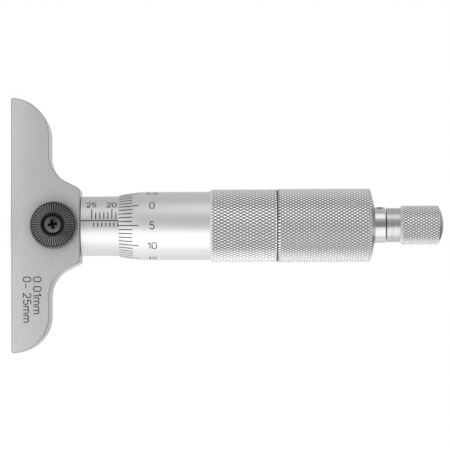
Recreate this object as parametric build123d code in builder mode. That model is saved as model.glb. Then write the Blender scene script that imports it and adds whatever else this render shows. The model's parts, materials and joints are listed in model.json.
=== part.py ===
from build123d import *
from math import cos, radians, sin, sqrt, tan
import os

# Depth micrometer with an interchangeable rod, standing on its measuring face. Millimetres.
# The origin is the middle of the measuring face, +Z runs up the spindle axis to the ratchet knob,
# X runs along the base, and the lock knob is on the -Y side.

# Fits, each the gap on the radius
running_gap = 0.03
seat_gap = 0.01
loose_gap = 0.1

# Scale: the reading shown, and the travel left below it
full_range = 25.0
reading = 18.537
scale_zero_height = 45.0

# Base
base_length = 63.5
base_thickness = 16.0
base_height = 17.0
wing_height = 9.4
wing_corner_radius = 0.4
neck_radius = 7.7
neck_start = 17.75
flank_angle = 26.4
hump_corner_radius = 1.0
base_edge_break = 0.2
rod_hole_radius = 2.4
socket_depth = 13.0

# Measuring rod and its two nuts
rod_radius = 2.0
rod_tip_height = 0.05
rod_tip_chamfer = 0.15
rod_end_above_nut = 0.9
rod_nut_length = 3.6
rod_nut_inset = 0.2
rod_nut_slot_width = 1.2
rod_nut_slot_depth = 0.8
rod_nut_spacing = 0.1
rod_lock_nut_flats = 7.0
rod_lock_nut_length = 2.4

# Guide bush in the base
bush_radius = 3.6
bush_length = 11.3
bush_floor_gap = 0.2

# Graduated sleeve
sleeve_radius = 7.5
sleeve_wall = 0.75
sleeve_seam = 0.2
sleeve_past_zero = 1.6
spanner_hole_radius = 0.75
spanner_hole_height = 5.0

# Inner sleeve and the nut that closes its split thread
shank_radius = 6.0
collet_step = 1.15
slit_width = 0.6
slit_length = 6.5
slit_count = 3
adjusting_nut_gap = 0.37
adjusting_nut_top_gap = 0.3
adjusting_nut_bottom_gap = 1.6
adjusting_nut_slot_width = 1.5
adjusting_nut_slot_depth = 0.9
adjusting_nut_slots = 4

# Spindle
spindle_thread_radius = 4.5
spindle_nose_gap = 1.0
rear_thread_radius = 4.8
rear_thread_length = 9.9
taper_shoulder = 0.4
taper_rise = 0.4

# Thimble
lip_setback = 0.2
thimble_length = 39.437
thimble_bore_gap = 0.07
lip_thickness = 0.1
lip_bevel_length = 0.75
lip_bevel_rise = 0.31
cone_length = 5.287
drum_length = 22.787
drum_wall = 1.01
grip_rise = 0.58
grip_bevel_length = 0.5
seam_depth = 0.25
seam_bevel_length = 0.25
web_thickness = 4.6
web_gap = 1.5

# Thimble cap
cap_step = 0.1
cap_bevel_length = 0.8
cap_rear_wall = 7.69
cap_cone_rise = 1.15

# Ratchet body
body_neck_radius = 4.5
body_neck_length = 2.63
body_hole_radius = 0.8
body_hole_depth = 2.0
body_hole_height = 1.25
body_hole_angle = 75.0
stem_radius = 2.5
stem_length = 5.5
stem_end_gap = 0.3
spigot_radius = 1.5
spigot_flat_length = 1.4
spigot_flat_depth = 0.3

# Ratchet knob
knob_gap = 0.3
knob_length = 14.37
knob_neck_length = 3.2
knob_neck_wall = 0.5
knob_shoulder_length = 0.7
knob_grip_rise = 0.63
knob_grip_end = 12.87
knob_dome_inset = 0.33
knob_dome_radius = 9.3
knob_chamber_radius = 3.4
knob_chamber_end_gap = 0.95
keyway_depth = 0.4
key_width = 1.2
key_count = 2

# Ratchet collar, spring, claws and screw
collar_inset = 0.15
collar_length = 1.4
spring_length = 3.15
spring_wire = 0.4
spring_turns = 2.5
claw_disc_thickness = 2.0
claw_plate_thickness = 1.0
tooth_height = 0.4
tooth_count = 12
tooth_ramp = 1.0
tooth_gap = 0.05
screw_head_radius = 2.2
screw_head_length = 1.2
screw_thread_radius = 0.8
screw_thread_length = 3.5
screw_slot_width = 0.5
screw_slot_depth = 0.5

# Rod lock
lock_below_top = 6.4
shoe_radius = 1.6
shoe_gap = 0.1
shoe_length = 2.5
stud_radius = 2.0
stud_gap = 0.05
stud_hex_flats = 3.2
stud_hex_length = 4.2
stud_hex_wall = 0.35
lock_knob_gap = 0.35
lock_knob_height = 6.3
lock_knob_side_height = 3.6
lock_knob_side_flare = 0.35
lock_knob_shoulder_radius = 5.65
lock_knob_ring_width = 0.65
lock_recess_depth = 2.2
flute_count = 50
flute_depth_share = 0.04
knob_screw_head_radius = 2.35
knob_screw_head_gap = 0.2
knob_screw_head_rim = 1.4
knob_screw_dome_rise = 0.4
knob_screw_thread_length = 4.0
cross_width = 0.7
cross_length = 2.3
cross_depth = 1.1
cross_angle = 10.0

# Radii that follow from those
barrel_radius = sleeve_radius - sleeve_wall
collet_radius = barrel_radius - collet_step
thimble_bore_radius = sleeve_radius + thimble_bore_gap
adjusting_nut_radius = thimble_bore_radius - adjusting_nut_gap
lip_bevel_radius = thimble_bore_radius + lip_bevel_rise
thimble_radius = thimble_bore_radius + drum_wall
grip_radius = thimble_radius + grip_rise
seam_radius = grip_radius - seam_depth
cap_radius = grip_radius + cap_step
taper_rear_radius = rear_thread_radius + taper_shoulder
taper_front_radius = taper_rear_radius + taper_rise
rod_guide_radius = rod_radius + running_gap
rod_nut_radius = rear_thread_radius - rod_nut_inset
keyway_radius = knob_chamber_radius + keyway_depth
knob_neck_radius = keyway_radius + knob_neck_wall
knob_radius = knob_neck_radius + knob_grip_rise
knob_dome_edge = knob_radius - knob_dome_inset
claw_radius = knob_chamber_radius - loose_gap
spring_coil_radius = (spigot_radius + knob_chamber_radius) / 2
knob_screw_thread_radius = stud_hex_flats / 2 - stud_hex_wall
lock_recess_radius = knob_screw_head_radius + knob_screw_head_gap
lock_knob_ring_radius = lock_recess_radius + lock_knob_ring_width
lock_knob_rear_radius = lock_knob_shoulder_radius + lock_knob_side_flare

# Heights above the measuring face, from the base up
lock_height = base_height - lock_below_top
socket_floor = base_height - socket_depth
bush_bottom = socket_floor + bush_floor_gap
bush_top = bush_bottom + bush_length
sleeve_bottom = base_height + sleeve_seam
sleeve_top = scale_zero_height + sleeve_past_zero
travel_down = full_range - reading
thimble_edge = scale_zero_height - reading + lip_setback
thimble_end = thimble_edge + thimble_length
web_height = thimble_end - web_thickness
inner_sleeve_top = web_height - travel_down - web_gap
adjusting_nut_top = inner_sleeve_top - adjusting_nut_top_gap
adjusting_nut_bottom = sleeve_top + adjusting_nut_bottom_gap
spindle_nose_height = bush_top + travel_down + spindle_nose_gap
spindle_rear = thimble_end + rear_thread_length
rod_nut_top = spindle_rear + rod_nut_length
rod_lock_nut_bottom = rod_nut_top + rod_nut_spacing
rod_top = rod_lock_nut_bottom + rod_lock_nut_length + rod_end_above_nut
cap_wall_bottom = rod_top + seat_gap
cap_face_height = cap_wall_bottom + cap_rear_wall
cap_rim_height = cap_face_height - cap_cone_rise
stem_bottom = cap_face_height - stem_length
body_neck_top = cap_face_height + body_neck_length
knob_bottom = body_neck_top + knob_gap
knob_top = knob_bottom + knob_length
collar_bottom = knob_bottom + collar_inset
collar_top = collar_bottom + collar_length
sliding_claw_bottom = collar_top + spring_length
sliding_claw_root = sliding_claw_bottom + claw_disc_thickness
sliding_claw_tips = sliding_claw_root + tooth_height
fixed_claw_tips = sliding_claw_tips + tooth_gap
fixed_claw_root = fixed_claw_tips + tooth_height
fixed_claw_top = fixed_claw_root + claw_plate_thickness
spigot_end = fixed_claw_top - seat_gap
screw_head_top = fixed_claw_top + screw_head_length
knob_chamber_top = screw_head_top + knob_chamber_end_gap

# Distances in front of the spindle axis, along the lock's axis
shoe_back = rod_radius + shoe_gap + shoe_length
base_front = base_thickness / 2
lock_knob_back = base_front + lock_knob_gap
lock_knob_shoulder = lock_knob_back + lock_knob_side_height
lock_knob_front = lock_knob_back + lock_knob_height
lock_recess_floor = lock_knob_front - lock_recess_depth
stud_shoulder = lock_recess_floor - stud_hex_length
stud_end = lock_recess_floor - seat_gap
screw_seat = lock_recess_floor + seat_gap

os.makedirs("parts", exist_ok=True)


def turned(points):
    """Turn a closed outline of (radius, height) points once round the spindle axis."""
    with BuildSketch(Plane.XZ) as outline:
        with BuildLine():
            Polyline(points, close=True)
        make_face()
    revolve(outline.sketch, axis=Axis.Z)


def front_plane(distance):
    """Plane square to the lock's axis, this far in front of the spindle axis, facing out."""
    return Plane(origin=(0, -distance, lock_height), x_dir=(1, 0, 0), z_dir=(0, -1, 0))


# Base: an extruded bridge with quarter-round wing ends and a hump under the sleeve
flank_foot = (
    neck_start - neck_radius * cos(radians(flank_angle)),
    wing_height + neck_radius * (1 - sin(radians(flank_angle))),
)
hump_half_width = flank_foot[0] - (base_height - flank_foot[1]) * tan(radians(flank_angle))
with BuildPart() as base:
    with BuildSketch(Plane.XZ):
        with BuildLine():
            sole = Line((0, 0), (base_length / 2, 0))
            wing_end = JernArc(sole @ 1, (0, 1), wing_height, 90)
            wing_top = Line(wing_end @ 1, (neck_start, wing_height))
            neck = JernArc(wing_top @ 1, (-1, 0), neck_radius, flank_angle - 90)
            flank = Line(neck @ 1, (hump_half_width, base_height))
            Line(flank @ 1, (0, base_height))
            mirror(about=Plane.YZ)
        make_face()
    extrude(amount=base_thickness / 2, both=True)
    fillet(edges().filter_by(Axis.Y).group_by(Axis.Z)[0], wing_corner_radius)
    fillet(edges().filter_by(Axis.Y).group_by(Axis.Z)[-1], hump_corner_radius)
    chamfer(faces().filter_by(Axis.Y).edges(), base_edge_break)
    with Locations((0, 0, base_height)):
        Hole(shank_radius + seat_gap, socket_depth)
    with Locations((0, 0, socket_floor)):
        Hole(rod_hole_radius, socket_floor)
    with BuildSketch(front_plane(base_front)):
        Circle(stud_radius + stud_gap)
    extrude(amount=-base_front, mode=Mode.SUBTRACT)
base.part.label = "base"
export_step(base.part, "parts/base.step")

# Guide bush: guides the rod just above the measuring face, with a window for the shoe
with BuildPart() as guide_bush:
    with BuildSketch(Plane.XY.offset(bush_bottom)):
        Circle(bush_radius)
        Circle(rod_guide_radius, mode=Mode.SUBTRACT)
    extrude(amount=bush_length)
    with BuildSketch(front_plane(0)):
        Circle(shoe_radius + running_gap)
    extrude(amount=base_front, mode=Mode.SUBTRACT)
guide_bush.part.label = "guide_bush"
export_step(guide_bush.part, "parts/guide_bush.step")

# Inner sleeve: shank in the base, barrel under the graduated sleeve, split thread at the top
with BuildPart() as inner_sleeve:
    turned([
        (bush_radius + seat_gap, bush_bottom),
        (shank_radius, bush_bottom),
        (shank_radius, base_height),
        (barrel_radius, base_height),
        (barrel_radius, sleeve_top),
        (collet_radius, sleeve_top),
        (collet_radius, inner_sleeve_top),
        (spindle_thread_radius + running_gap, inner_sleeve_top),
        (spindle_thread_radius + running_gap, bush_top),
        (bush_radius + seat_gap, bush_top),
    ])
    with BuildSketch(front_plane(0)):
        Circle(stud_radius + stud_gap)
    extrude(amount=base_front, mode=Mode.SUBTRACT)
    with BuildSketch(Plane.XY.offset(inner_sleeve_top)):
        with PolarLocations(barrel_radius / 2, slit_count, start_angle=90):
            Rectangle(barrel_radius, slit_width)
    extrude(amount=-slit_length, mode=Mode.SUBTRACT)
inner_sleeve.part.label = "inner_sleeve"
export_step(inner_sleeve.part, "parts/inner_sleeve.step")

# Adjusting nut: slotted ring on the split end of the inner sleeve
with BuildPart() as adjusting_nut:
    with BuildSketch(Plane.XY.offset(adjusting_nut_bottom)):
        Circle(adjusting_nut_radius)
        Circle(collet_radius + seat_gap, mode=Mode.SUBTRACT)
        with PolarLocations(adjusting_nut_radius, adjusting_nut_slots):
            Rectangle(2 * adjusting_nut_slot_depth, adjusting_nut_slot_width, mode=Mode.SUBTRACT)
    extrude(amount=adjusting_nut_top - adjusting_nut_bottom)
adjusting_nut.part.label = "adjusting_nut"
export_step(adjusting_nut.part, "parts/adjusting_nut.step")

# Graduated sleeve: thin tube that turns on the barrel to set zero, with a spanner hole behind
with BuildPart() as graduated_sleeve:
    with BuildSketch(Plane.XY.offset(sleeve_bottom)):
        Circle(sleeve_radius)
        Circle(barrel_radius + seat_gap, mode=Mode.SUBTRACT)
    extrude(amount=sleeve_top - sleeve_bottom)
    with BuildSketch(Plane.XZ):
        with Locations((0, base_height + spanner_hole_height)):
            Circle(spanner_hole_radius)
    extrude(amount=-2 * sleeve_radius, mode=Mode.SUBTRACT)
graduated_sleeve.part.label = "graduated_sleeve"
export_step(graduated_sleeve.part, "parts/graduated_sleeve.step")

# Spindle: hollow screw with a taper seat for the thimble and a rear thread for the cap
with BuildPart() as spindle:
    turned([
        (rod_guide_radius, spindle_nose_height),
        (spindle_thread_radius, spindle_nose_height),
        (spindle_thread_radius, web_height),
        (taper_front_radius, web_height),
        (taper_rear_radius, thimble_end),
        (rear_thread_radius, thimble_end),
        (rear_thread_radius, spindle_rear),
        (rod_guide_radius, spindle_rear),
    ])
spindle.part.label = "spindle"
export_step(spindle.part, "parts/spindle.step")

# Measuring rod: plain ground rod with a flat lapped tip
with BuildPart() as measuring_rod:
    with BuildSketch(Plane.XY.offset(rod_tip_height)):
        Circle(rod_radius)
    extrude(amount=rod_top - rod_tip_height)
    chamfer(faces().sort_by(Axis.Z)[0].edges(), rod_tip_chamfer)
measuring_rod.part.label = "measuring_rod"
export_step(measuring_rod.part, "parts/measuring_rod.step")

# Rod adjusting nut: round, with two spanner slots, seated on the spindle's rear end
with BuildPart() as rod_adjusting_nut:
    with BuildSketch(Plane.XY.offset(spindle_rear)):
        Circle(rod_nut_radius)
        Circle(rod_radius + seat_gap, mode=Mode.SUBTRACT)
        with PolarLocations(rod_nut_radius, 2):
            Rectangle(2 * rod_nut_slot_depth, rod_nut_slot_width, mode=Mode.SUBTRACT)
    extrude(amount=rod_nut_length)
rod_adjusting_nut.part.label = "rod_adjusting_nut"
export_step(rod_adjusting_nut.part, "parts/rod_adjusting_nut.step")

# Rod lock nut: thin hexagon nut that holds the adjusting nut
with BuildPart() as rod_lock_nut:
    with BuildSketch(Plane.XY.offset(rod_lock_nut_bottom)):
        RegularPolygon(rod_lock_nut_flats / 2, 6, major_radius=False)
        Circle(rod_radius + seat_gap, mode=Mode.SUBTRACT)
    extrude(amount=rod_lock_nut_length)
rod_lock_nut.part.label = "rod_lock_nut"
export_step(rod_lock_nut.part, "parts/rod_lock_nut.step")

# Thimble: bevelled lip, graduated cone, plain drum and knurled grip, on a web with a taper bore
with BuildPart() as thimble:
    turned([
        (thimble_bore_radius, thimble_edge),
        (thimble_bore_radius + lip_thickness, thimble_edge),
        (lip_bevel_radius, thimble_edge + lip_bevel_length),
        (thimble_radius, thimble_edge + cone_length),
        (thimble_radius, thimble_edge + drum_length),
        (grip_radius, thimble_edge + drum_length + grip_bevel_length),
        (grip_radius, thimble_end - seam_bevel_length),
        (seam_radius, thimble_end),
        (taper_rear_radius + seat_gap, thimble_end),
        (taper_front_radius + seat_gap, web_height),
        (thimble_bore_radius, web_height),
    ])
thimble.part.label = "thimble"
export_step(thimble.part, "parts/thimble.step")

# Thimble cap: knurled, screwed on the spindle's rear thread, with room for the rod's nuts
stem_hole_bottom = stem_bottom - stem_end_gap
with BuildPart() as thimble_cap:
    turned([
        (rear_thread_radius + seat_gap, thimble_end),
        (seam_radius, thimble_end),
        (cap_radius, thimble_end + cap_bevel_length),
        (cap_radius, cap_rim_height),
        (body_neck_radius, cap_face_height),
        (stem_radius + seat_gap, cap_face_height),
        (stem_radius + seat_gap, stem_hole_bottom),
        (0, stem_hole_bottom),
        (0, cap_wall_bottom),
        (rear_thread_radius + seat_gap, cap_wall_bottom),
    ])
thimble_cap.part.label = "thimble_cap"
export_step(thimble_cap.part, "parts/thimble_cap.step")

# Ratchet body: stem in the cap, smooth neck with a spanner hole, and a flatted spigot
spigot_hole_bottom = spigot_end - screw_thread_length - stem_end_gap
with BuildPart() as ratchet_body:
    turned([
        (0, stem_bottom),
        (stem_radius, stem_bottom),
        (stem_radius, cap_face_height),
        (body_neck_radius, cap_face_height),
        (body_neck_radius, body_neck_top),
        (spigot_radius, body_neck_top),
        (spigot_radius, spigot_end),
        (screw_thread_radius + seat_gap, spigot_end),
        (screw_thread_radius + seat_gap, spigot_hole_bottom),
        (0, spigot_hole_bottom),
    ])
    with BuildSketch(Plane.XY.offset(spigot_end)):
        with Locations((2 * spigot_radius - spigot_flat_depth, 0)):
            Rectangle(2 * spigot_radius, 2 * spigot_radius)
    extrude(amount=-spigot_flat_length, mode=Mode.SUBTRACT)
    hole_out = (-sin(radians(body_hole_angle)), -cos(radians(body_hole_angle)), 0)
    hole_axis = Plane(origin=(0, 0, cap_face_height + body_hole_height), z_dir=hole_out)
    with BuildSketch(hole_axis.offset(body_neck_radius - body_hole_depth)):
        Circle(body_hole_radius)
    extrude(amount=2 * body_hole_depth, mode=Mode.SUBTRACT)
ratchet_body.part.label = "ratchet_body"
export_step(ratchet_body.part, "parts/ratchet_body.step")

# Ratchet knob: neck, knurled grip and domed end, hollow for the clutch, with two keyways
dome_rise = knob_dome_radius - sqrt(knob_dome_radius**2 - knob_dome_edge**2)
neck_top = knob_bottom + knob_neck_length
with BuildPart() as ratchet_knob:
    with BuildSketch(Plane.XZ):
        with BuildLine():
            side = Polyline(
                (knob_chamber_radius, knob_bottom),
                (knob_neck_radius, knob_bottom),
                (knob_neck_radius, neck_top),
                (knob_radius, neck_top + knob_shoulder_length),
                (knob_radius, knob_bottom + knob_grip_end),
                (knob_dome_edge, knob_top - dome_rise),
            )
            dome = RadiusArc(side @ 1, (0, knob_top), -knob_dome_radius)
            Polyline(
                dome @ 1,
                (0, knob_chamber_top),
                (knob_chamber_radius, knob_chamber_top),
                side @ 0,
            )
        make_face()
    revolve(axis=Axis.Z)
    with BuildSketch(Plane.XY.offset(knob_bottom)):
        with PolarLocations(keyway_radius / 2, key_count):
            Rectangle(keyway_radius, key_width)
    extrude(amount=sliding_claw_tips - knob_bottom, mode=Mode.SUBTRACT)
ratchet_knob.part.label = "ratchet_knob"
export_step(ratchet_knob.part, "parts/ratchet_knob.step")

# Ratchet collar: ring screwed in the knob's mouth, running on the spigot
with BuildPart() as ratchet_collar:
    with BuildSketch(Plane.XY.offset(collar_bottom)):
        Circle(knob_chamber_radius - seat_gap)
        Circle(spigot_radius + running_gap, mode=Mode.SUBTRACT)
    extrude(amount=collar_length)
ratchet_collar.part.label = "ratchet_collar"
export_step(ratchet_collar.part, "parts/ratchet_collar.step")

# Ratchet spring: square wire coil between the collar and the sliding claw
spring_rise = spring_length - spring_wire - 2 * seat_gap
with BuildPart() as ratchet_spring:
    with BuildLine():
        coil = Helix(
            spring_rise / spring_turns,
            spring_rise,
            spring_coil_radius,
            center=(0, 0, collar_top + spring_wire / 2 + seat_gap),
        )
    with BuildSketch(Plane(origin=coil @ 0, x_dir=(1, 0, 0), z_dir=coil % 0)):
        Rectangle(spring_wire, spring_wire)
    sweep(is_frenet=True)
ratchet_spring.part.label = "ratchet_spring"
export_step(ratchet_spring.part, "parts/ratchet_spring.step")


def saw_grooves(tips, height):
    """Cut a ring of face saw teeth: radial grooves from the tips, a signed height deep."""
    for tooth in range(tooth_count):
        outwards = Vector(1, 0, 0).rotate(Axis.Z, tooth * 360 / tooth_count)
        with BuildSketch(Plane(origin=(0, 0, tips), x_dir=(0, 0, 1), z_dir=outwards)) as groove:
            with BuildLine():
                Polyline((0, 0), (-height, 0), (0, tooth_ramp), close=True)
            make_face()
        extrude(groove.sketch, amount=2 * claw_radius, mode=Mode.SUBTRACT)


# Sliding claw: disc keyed to the knob, with saw teeth on its rear face
with BuildPart() as sliding_claw:
    with BuildSketch(Plane.XY.offset(sliding_claw_bottom)):
        Circle(claw_radius)
        with PolarLocations(keyway_radius / 2, key_count):
            Rectangle(keyway_radius - 2 * running_gap, key_width - 2 * running_gap)
    extrude(amount=claw_disc_thickness)
    with BuildSketch(Plane.XY.offset(sliding_claw_root)):
        Circle(claw_radius)
    extrude(amount=tooth_height)
    saw_grooves(sliding_claw_tips, tooth_height)
    with Locations((0, 0, sliding_claw_tips)):
        Hole(spigot_radius + running_gap)
sliding_claw.part.label = "sliding_claw"
export_step(sliding_claw.part, "parts/sliding_claw.step")

# Fixed claw: toothed disc on the spigot's flat, its teeth just clear of the sliding claw's
with BuildPart() as fixed_claw:
    with BuildSketch(Plane.XY.offset(fixed_claw_tips)):
        Circle(claw_radius)
    extrude(amount=fixed_claw_top - fixed_claw_tips)
    saw_grooves(fixed_claw_tips, -tooth_height)
    with BuildSketch(Plane.XY.offset(fixed_claw_tips)):
        Circle(spigot_radius + seat_gap)
        with Locations((2 * spigot_radius - spigot_flat_depth + seat_gap, 0)):
            Rectangle(2 * spigot_radius, 2 * claw_radius, mode=Mode.SUBTRACT)
    extrude(amount=fixed_claw_top - fixed_claw_tips, mode=Mode.SUBTRACT)
fixed_claw.part.label = "fixed_claw"
export_step(fixed_claw.part, "parts/fixed_claw.step")

# Ratchet screw: slotted, holds the fixed claw on the spigot
with BuildPart() as ratchet_screw:
    with BuildSketch(Plane.XY.offset(fixed_claw_top)):
        Circle(screw_head_radius)
    extrude(amount=screw_head_length)
    with BuildSketch(Plane.XY.offset(fixed_claw_top)):
        Circle(screw_thread_radius)
    extrude(amount=-screw_thread_length)
    with BuildSketch(Plane.XY.offset(screw_head_top)):
        Rectangle(2 * screw_head_radius, screw_slot_width)
    extrude(amount=-screw_slot_depth, mode=Mode.SUBTRACT)
ratchet_screw.part.label = "ratchet_screw"
export_step(ratchet_screw.part, "parts/ratchet_screw.step")

# Clamp shoe: brass plug with a hollowed face that closes on the rod
with BuildPart() as clamp_shoe:
    with BuildSketch(front_plane(shoe_back)):
        Circle(shoe_radius)
    extrude(amount=-shoe_back)
    with Locations((0, 0, lock_height)):
        Cylinder(rod_radius + shoe_gap, 4 * shoe_radius, mode=Mode.SUBTRACT)
clamp_shoe.part.label = "clamp_shoe"
export_step(clamp_shoe.part, "parts/clamp_shoe.step")

# Clamp stud: threaded in the base, with a hexagon end that the lock knob turns
with BuildPart() as clamp_stud:
    with BuildSketch(front_plane(shoe_back)):
        Circle(stud_radius)
    extrude(amount=stud_shoulder - shoe_back)
    with BuildSketch(front_plane(stud_shoulder)):
        RegularPolygon(stud_hex_flats / 2, 6, major_radius=False)
    extrude(amount=stud_end - stud_shoulder)
    with BuildSketch(front_plane(stud_end)):
        Circle(knob_screw_thread_radius + seat_gap)
    extrude(amount=-knob_screw_thread_length, mode=Mode.SUBTRACT)
clamp_stud.part.label = "clamp_stud"
export_step(clamp_stud.part, "parts/clamp_stud.step")


def serrated(distance, crest):
    """Sketch the lock knob's serrated outline, this far in front of the spindle axis."""
    half_pitch = 180 / flute_count
    root = crest * (1 - flute_depth_share)
    with BuildSketch(front_plane(distance)) as outline:
        with BuildLine():
            Polyline(
                [
                    Vector(radius, 0).rotate(Axis.Z, (2 * flute + side) * half_pitch)
                    for flute in range(flute_count)
                    for side, radius in enumerate((crest, root))
                ],
                close=True,
            )
        make_face()
    return outline.sketch


# Lock knob: serrated side and bevel, plain ring, and a recess for the screw
with BuildPart() as lock_knob:
    rear = serrated(lock_knob_back, lock_knob_rear_radius)
    shoulder = serrated(lock_knob_shoulder, lock_knob_shoulder_radius)
    ring = serrated(lock_knob_front, lock_knob_ring_radius)
    loft([rear, shoulder, ring], ruled=True)
    with BuildSketch(front_plane(lock_knob_front)):
        Circle(lock_recess_radius)
    extrude(amount=-lock_recess_depth, mode=Mode.SUBTRACT)
    with BuildSketch(front_plane(lock_knob_back)):
        RegularPolygon(stud_hex_flats / 2 + seat_gap, 6, major_radius=False)
    extrude(amount=lock_recess_floor - lock_knob_back, mode=Mode.SUBTRACT)
lock_knob.part.label = "lock_knob"
export_step(lock_knob.part, "parts/lock_knob.step")

# Knob screw: domed cross-head screw in the stud's end
head_rim = screw_seat + knob_screw_head_rim
head_top = head_rim + knob_screw_dome_rise
rim_to_dome = knob_screw_head_radius**2 / knob_screw_dome_rise
knob_screw_dome_radius = (rim_to_dome + knob_screw_dome_rise) / 2
with BuildPart() as knob_screw:
    with BuildSketch(Plane.XY.offset(lock_height)):
        with BuildLine():
            head = Polyline(
                (0, -head_top),
                (0, seat_gap + knob_screw_thread_length - screw_seat),
                (knob_screw_thread_radius, seat_gap + knob_screw_thread_length - screw_seat),
                (knob_screw_thread_radius, -screw_seat),
                (knob_screw_head_radius, -screw_seat),
                (knob_screw_head_radius, -head_rim),
            )
            RadiusArc(head @ 1, head @ 0, knob_screw_dome_radius)
        make_face()
    revolve(axis=Axis((0, 0, lock_height), (0, 1, 0)))
    with BuildSketch(front_plane(head_top)):
        Rectangle(cross_length, cross_width, rotation=cross_angle)
        Rectangle(cross_width, cross_length, rotation=cross_angle)
    extrude(amount=-cross_depth, mode=Mode.SUBTRACT)
knob_screw.part.label = "knob_screw"
export_step(knob_screw.part, "parts/knob_screw.step")
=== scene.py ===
import json
import math

import bmesh
import bpy
from mathutils import Matrix, Vector


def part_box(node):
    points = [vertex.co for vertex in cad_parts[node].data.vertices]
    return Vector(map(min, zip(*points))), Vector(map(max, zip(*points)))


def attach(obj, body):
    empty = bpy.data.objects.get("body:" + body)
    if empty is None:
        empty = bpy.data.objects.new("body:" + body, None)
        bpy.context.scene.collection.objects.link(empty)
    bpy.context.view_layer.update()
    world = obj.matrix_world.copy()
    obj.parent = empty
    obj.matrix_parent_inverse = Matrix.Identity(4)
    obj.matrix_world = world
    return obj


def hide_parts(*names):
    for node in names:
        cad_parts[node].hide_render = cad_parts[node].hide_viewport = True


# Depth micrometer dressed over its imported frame. The frame is in metres, and pieces are modelled
# in millimetres round the spindle axis, Z, with the lock knob on the -Y side, then scaled.
MM = 0.001
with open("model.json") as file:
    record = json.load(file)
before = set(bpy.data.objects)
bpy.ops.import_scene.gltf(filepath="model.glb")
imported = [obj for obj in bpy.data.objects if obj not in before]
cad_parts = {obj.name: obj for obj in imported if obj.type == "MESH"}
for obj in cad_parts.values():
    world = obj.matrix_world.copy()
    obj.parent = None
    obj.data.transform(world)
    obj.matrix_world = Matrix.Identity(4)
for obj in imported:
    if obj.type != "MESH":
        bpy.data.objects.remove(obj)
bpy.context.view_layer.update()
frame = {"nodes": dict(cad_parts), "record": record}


def span(node):
    """Radius, lowest and highest point of a round CAD node, in millimetres."""
    low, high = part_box(node)
    return high[0] / MM, low[2] / MM, high[2] / MM


# Camera: aimed level at the spindle from a little round towards +X and rolled slightly, with the
# ratchet knob to the right. The foot of the spindle axis falls on foot_pixel.
picture_pixels = 450
foot_pixel = (13.45, 225.7)
pixels_per_mm = 3.980
camera_distance = 750.0
camera_azimuth = 2.1
camera_roll = -0.23
sensor_width = 36.0
camera_near = 10.0

# Thimble: bevelled lip, graduated cone, plain drum, knurled grip, and the web on the spindle
thimble_bore = 7.57
lip_radius = 7.67
lip_bevel = 0.75
lip_bevel_radius = 7.88
cone_length = 5.287
drum_radius = 8.58
drum_length = 22.787
grip_bevel = 0.5
seam_radius = 8.91
seam_bevel = 0.25
web_thickness = 4.6
web_front_bore = 5.61
web_rear_bore = 5.21

# Thimble cap
cap_bevel = 0.8
cap_cone_rise = 1.15
cap_face_radius = 4.5
cap_bore = 4.81
cap_wall = 7.69
stem_bore = 2.51
stem_depth = 5.8
cap_rim_bevel = 0.08

# Ratchet knob
knob_neck_length = 3.4
knob_neck_radius = 4.3
knob_shoulder = 0.7
knob_grip_length = 8.97
knob_dome_edge = 4.6
knob_dome_radius = 9.3
knob_dome_steps = 10
knob_mouth_radius = 3.4
knob_mouth_depth = 10.7

# Knurls: diamonds round each band and rows of half diamonds along it, their depth, the flats on
# their tips, and the shares of the depth at which the painted shade in the valleys starts and is
# full
grip_diamonds, grip_rows = 68, 20
cap_diamonds, cap_rows = 70, 34
knob_diamonds, knob_rows = 40, 14
knurl_depth = 0.30
knob_knurl_depth = 0.26
knurl_tip = 0.05
valley_shade_starts = 0.6
valley_shade_full = 0.95

# Scales: the 0 mark's height, the reading line's angle towards -X, and the sizes of the marks.
# The sleeve's ticks and numerals are placed by their angles from -Y towards -X. The gap between
# two letters, and the longest straight run of a stroke, are shares of the letters' height.
scale_zero = 45.0
scale_length = 25
reading_angle = 8.8
mark_width = 0.25
reading_line_width = 0.24
reading_line_foot = 0.1
reading_line_past_zero = 0.5
mark_proud = 0.01
mark_sunk = 0.02
tick_upper_start = 11.7
tick_long_end = 32.2
tick_short_end = 25.3
tick_lower_start = 4.6
tick_lower_end = -3.6
sleeve_numeral_angle = 43.4
sleeve_numeral_height = 1.8
numeral_setback = 0.15
thimble_divisions = 50
thimble_five_angle = 1.0
thimble_short_mark = 3.45
thimble_long_mark = 5.0
thimble_mark_foot = 0.02
thimble_numeral_z = 35.0
thimble_numeral_height = 2.13
numeral_stretch = 0.9
stroke_width = 0.24
letter_gap = 0.24
longest_run = 0.08
reading_line_steps, short_tick_steps, tick_steps = 2, 6, 12

# Lock knob: serrated side and bevel, and a plain ring round the screw's recess. The flutes of the
# bevel fade out towards the ring, and its crests carry a painted highlight between the two
# highlight margins.
flute_count = 50
flute_profile = (0, 0.1, 1, 1, 1, 0.1)
side_flute_depth = 0.16
bevel_flute_depth = 0.42
bevel_flute_fade = 0.8
highlight_depths = (-0.26, -0.08)
highlight_shoulder_margin = 0.35
highlight_ring_margin = 0.2
lock_side_height = 3.6
lock_shoulder_radius = 5.65
lock_ring_radius = 2.85
lock_recess_radius = 2.45
lock_recess_depth = 2.2
lock_bore = 1.85
bevel_bands = 4
screw_dome_radius = 7.103

# Base: the break round its front face, and the words there, each with its length and the height
# of its foot
base_break = 0.21
base_word_height = 2.13
base_word_stroke = 0.25
base_word_start = 12.85
base_word_lines = (("0.01mm", 9.1, 5.4), ("0- 25mm", 11.2, 2.85))

# Meshes: the angle past which an edge stays crisp, the gaps that are welded, the angle under
# which a CAD node's facets are joined, and how far from a radius a vertex still counts as on it
crisp_angle = 28
weld_gap = 0.0005
cad_weld_gap = 0.002
cad_flat_angle = 0.5
vertex_slack = 0.01
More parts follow.
